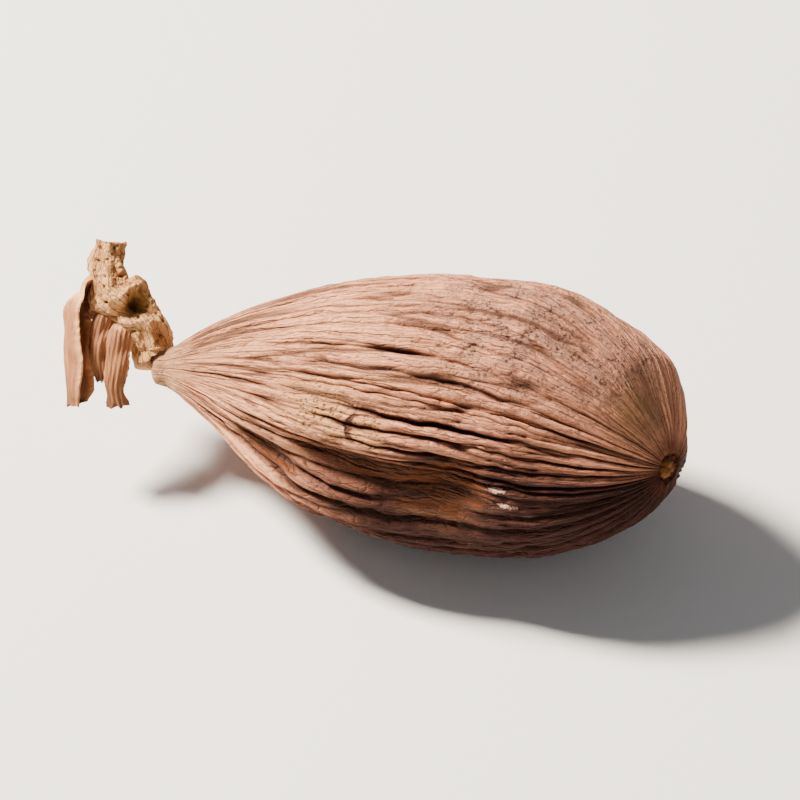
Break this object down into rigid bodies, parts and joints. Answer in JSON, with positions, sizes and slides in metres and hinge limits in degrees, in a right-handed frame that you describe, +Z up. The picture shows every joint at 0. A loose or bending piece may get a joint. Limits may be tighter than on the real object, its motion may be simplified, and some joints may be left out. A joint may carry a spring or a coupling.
{
  "type": "dried tsao-ko cardamom pod",
  "caption": "Dried ribbed spice pod, egg-shaped with a narrow neck, lying on its side with a broken piece of stalk still on it.",
  "frame": {"origin": "on the surface it lies on, in the middle of the pressed spot under the pod's belly", "axes": "+X from the stalk to the pod's tip, +Z up, -Y the flank with the blunt keel"},
  "size_m": [0.0441, 0.0185, 0.0192],
  "materials": {
    "husk": "dry wrinkled husk, matt grey-brown on the ribs and dark red-brown in the furrows",
    "dried_stem": "dry corky stem, matt pale tan"
  },
  "bodies": {
    "root": {"pod": "husk", "stalk": "dried_stem"}
  },
  "joints": []
}
